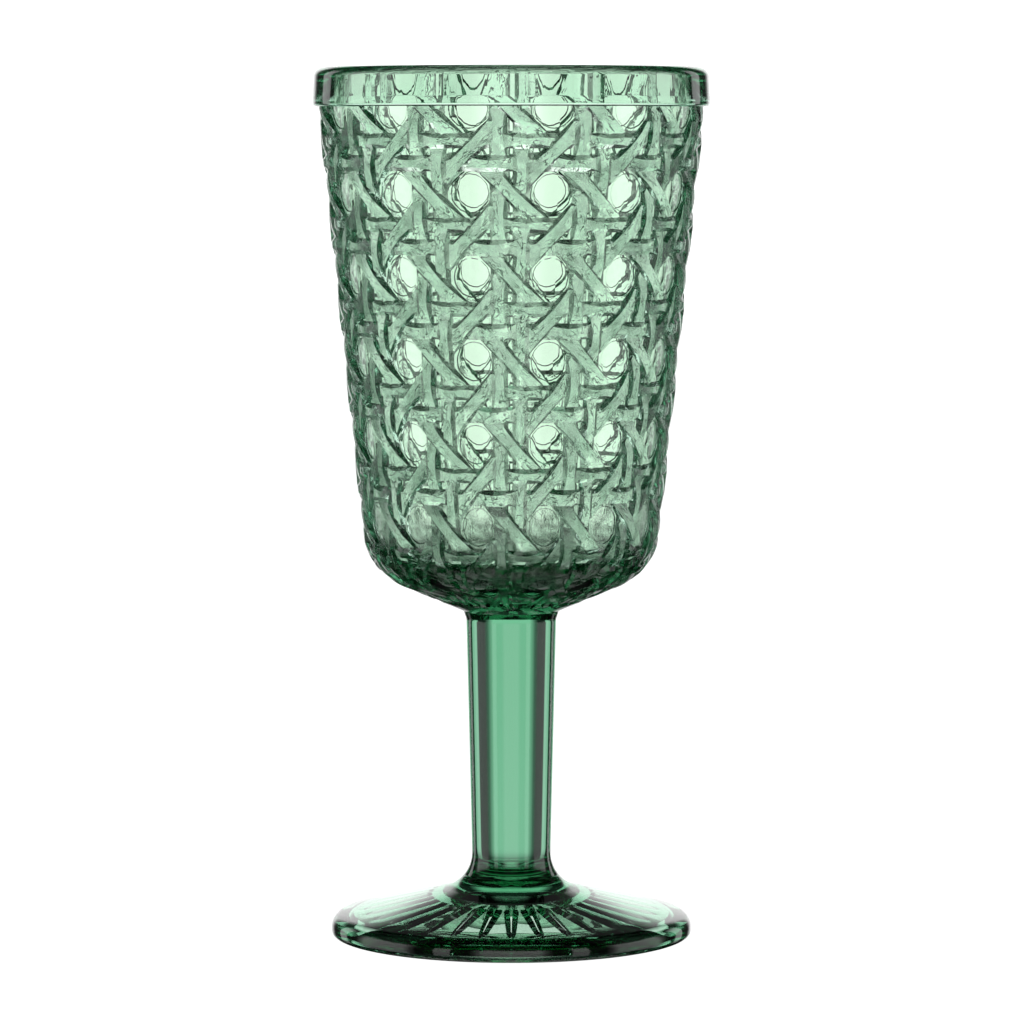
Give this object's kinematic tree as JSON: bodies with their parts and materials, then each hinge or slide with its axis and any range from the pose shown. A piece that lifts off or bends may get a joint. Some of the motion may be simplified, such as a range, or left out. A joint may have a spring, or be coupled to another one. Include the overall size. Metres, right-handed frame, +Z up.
{
  "type": "wine glass",
  "caption": "Stemmed pressed-glass goblet: a deep tapered bowl with a woven cane relief and plain lip band, a solid round stem and a broad fluted foot.",
  "frame": {"origin": "on the table plane, at the centre of the foot's contact ring", "axes": "+Z up along the goblet's axis, +X to the right, -Y towards the front; the front lies midway between two columns of windows"},
  "size_m": [0.0782, 0.0782, 0.172],
  "materials": {
    "bowl_glass": "pressed soda-lime glass, pale green, fire-polished smooth panes between textured strands",
    "stem_glass": "pressed soda-lime glass, pale green, fire-polished, a few seed bubbles",
    "foot_glass": "pressed soda-lime glass, pale green, fire-polished top and pressed flutes below"
  },
  "bodies": {
    "root": {"bowl": "bowl_glass", "stem": "stem_glass", "foot": "foot_glass"}
  },
  "joints": []
}
